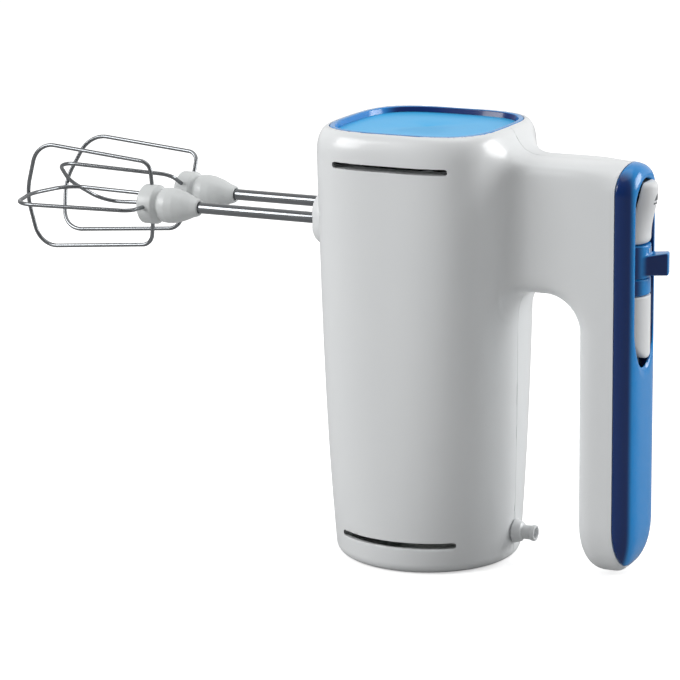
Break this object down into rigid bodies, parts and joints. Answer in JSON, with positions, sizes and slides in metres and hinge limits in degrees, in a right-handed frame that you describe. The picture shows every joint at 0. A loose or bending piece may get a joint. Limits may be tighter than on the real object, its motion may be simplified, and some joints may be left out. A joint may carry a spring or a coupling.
{
  "type": "hand mixer",
  "caption": "Handheld electric kitchen mixer with an upright body, a side handle with thumb controls, and a pair of wire-cage beaters.",
  "frame": {"origin": "centre of the flat heel face that the mixer stands on", "axes": "+Z from the heel up to the nose cap; the beaters point along -X and the handle is on the +X side; Y is the width"},
  "size_m": [0.3347, 0.0942, 0.212],
  "materials": {
    "shell_white": "satin white moulded plastic",
    "nose_blue": "light blue moulded plastic",
    "cover_blue": "blue gloss moulded plastic",
    "button_white": "matte white plastic",
    "skirt_dark": "dark charcoal plastic",
    "collar_grey": "light grey plastic",
    "chassis_dark": "dark glass-filled nylon",
    "gear_nylon": "natural nylon",
    "steel_bright": "polished stainless steel",
    "steel_plain": "plain steel",
    "bracket_alloy": "die-cast alloy",
    "bronze": "sintered bronze",
    "copper": "enamelled copper wire",
    "brass": "sheet brass",
    "carbon": "carbon graphite",
    "board_green": "glass-fibre circuit board",
    "capacitor_yellow": "film capacitor case"
  },
  "bodies": {
    "housing": {"body_shell_left": "shell_white", "body_shell_right": "shell_white", "nose_cap": "nose_blue", "handle_cover": "cover_blue", "beater_boss": "shell_white", "cord_gland": "shell_white", "housing_screws": "steel_plain", "gear_case": "chassis_dark", "front_bush_left": "bronze", "front_bush_right": "bronze", "rear_bush_left": "bronze", "rear_bush_right": "bronze", "motor_stator": "steel_plain", "field_winding_upper": "copper", "field_winding_lower": "copper", "motor_bracket_upper": "bracket_alloy", "motor_bracket_lower": "bracket_alloy", "nose_bearing": "bronze", "upper_bearing": "bronze", "lower_bearing": "bronze", "motor_bolts": "steel_plain", "brush_holder_left": "brass", "brush_holder_right": "brass", "carbon_brush_left": "carbon", "carbon_brush_right": "carbon", "brush_springs": "steel_plain", "circuit_board": "board_green", "noise_capacitor": "capacitor_yellow", "choke_coil": "copper", "switch_block": "chassis_dark", "control_post": "chassis_dark", "fixed_ring": "cover_blue", "turbo_switch": "chassis_dark", "rod_guide": "chassis_dark", "eject_spring": "steel_plain", "turbo_spring": "steel_plain"},
    "rotor": {"rotor_shaft": "steel_bright", "armature_core": "steel_plain", "armature_winding": "copper", "commutator": "copper", "worm": "steel_plain", "cooling_fan": "chassis_dark"},
    "left_spindle": {"spindle_left": "steel_plain", "worm_gear_left": "gear_nylon"},
    "right_spindle": {"spindle_right": "steel_plain", "worm_gear_right": "gear_nylon"},
    "left_beater": {"beater_shaft_left": "steel_bright", "beater_collar_left": "collar_grey", "beater_loop_a_left": "steel_bright", "beater_loop_b_left": "steel_bright"},
    "right_beater": {"beater_shaft_right": "steel_bright", "beater_collar_right": "collar_grey", "beater_loop_a_right": "steel_bright", "beater_loop_b_right": "steel_bright"},
    "ejector": {"eject_paddle": "button_white", "eject_skirt": "skirt_dark", "ejector_rod": "chassis_dark", "ejector_plate": "chassis_dark"},
    "speed_selector": {"speed_collar": "cover_blue"},
    "turbo": {"turbo_button": "button_white"}
  },
  "joints": [
    {"name": "motor_spin", "type": "hinge", "parent": "housing", "child": "rotor", "pos_m": [0, 0, 0.1646], "axis": [0, 0, 1], "continuous": true},
    {"name": "left_spindle_spin", "type": "hinge", "parent": "housing", "child": "left_spindle", "pos_m": [0, -0.019, 0.1646], "axis": [1, 0, 0], "continuous": true},
    {"name": "right_spindle_spin", "type": "hinge", "parent": "housing", "child": "right_spindle", "pos_m": [0, 0.019, 0.1646], "axis": [1, 0, 0], "continuous": true},
    {"name": "eject_press", "type": "slide", "parent": "housing", "child": "ejector", "axis": [-1, 0, 0], "range_m": [0, 0.007], "stiffness_N_per_m": 600, "springref_m": -0.004, "deforming": ["eject_spring"]},
    {"name": "left_beater_release", "type": "slide", "parent": "left_spindle", "child": "left_beater", "axis": [-1, 0, 0], "range_m": [0, 0.007]},
    {"name": "right_beater_release", "type": "slide", "parent": "right_spindle", "child": "right_beater", "axis": [-1, 0, 0], "range_m": [0, 0.007]},
    {"name": "speed_select", "type": "hinge", "parent": "housing", "child": "speed_selector", "pos_m": [0.1018, 0, 0.153], "axis": [0, 0, 1], "range_deg": [-45, 0]},
    {"name": "turbo_press", "type": "slide", "parent": "housing", "child": "turbo", "axis": [-1, 0, 0], "range_m": [0, 0.0025], "stiffness_N_per_m": 500, "springref_m": -0.002, "deforming": ["turbo_spring"]}
  ],
  "couplings": [
    {"joint": "left_spindle_spin", "follows": "motor_spin", "ratio": -0.071429},
    {"joint": "right_spindle_spin", "follows": "motor_spin", "ratio": 0.071429},
    {"joint": "left_beater_release", "follows": "eject_press", "ratio": 1},
    {"joint": "right_beater_release", "follows": "eject_press", "ratio": 1}
  ]
}
